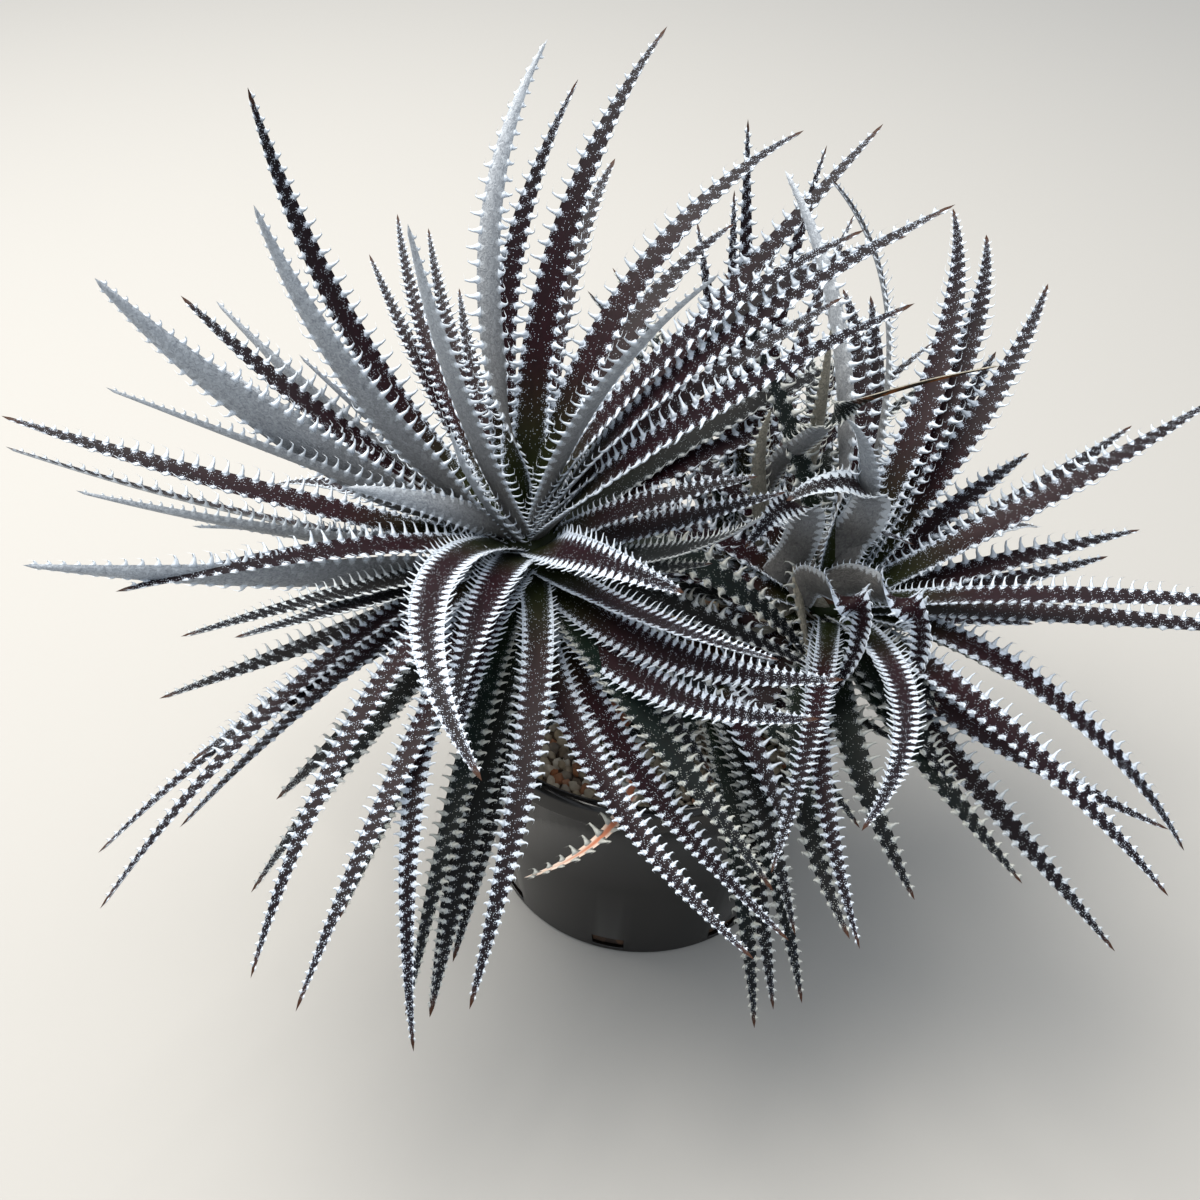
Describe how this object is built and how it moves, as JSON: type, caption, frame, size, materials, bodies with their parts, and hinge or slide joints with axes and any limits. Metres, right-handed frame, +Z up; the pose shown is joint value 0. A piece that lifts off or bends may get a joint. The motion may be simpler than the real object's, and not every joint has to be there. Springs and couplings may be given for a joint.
{
  "type": "potted dyckia bromeliad",
  "caption": "Multi-headed clump of long recurving leaves with hooked marginal spines, in a round tapered black nursery pot dressed with gravel.",
  "frame": {"origin": "centre of the pot's underside, on the surface the pot stands on", "axes": "+Z up along the pot's axis; +X to the right and -Y towards the viewer, seen from the front"},
  "size_m": [0.4834, 0.3703, 0.3606],
  "materials": {
    "pot_plastic": "black injection-moulded plastic, glossy, lightly scuffed",
    "potting_mix": "damp bark and peat potting mix",
    "gravel": "cream and tan horticultural grit, dry",
    "leaf": "stiff maroon-brown to green-black succulent leaf with white scales in lines and white spines",
    "dry_leaf": "dead leaf, papery, beige with an orange-brown midline"
  },
  "bodies": {
    "root": {"pot": "pot_plastic", "potting_mix": "potting_mix", "gravel_dressing": "gravel", "rosette_main": "leaf", "rosette_right": "leaf", "rosette_back": "leaf", "rosette_front": "leaf", "dry_leaf": "dry_leaf"}
  },
  "joints": []
}
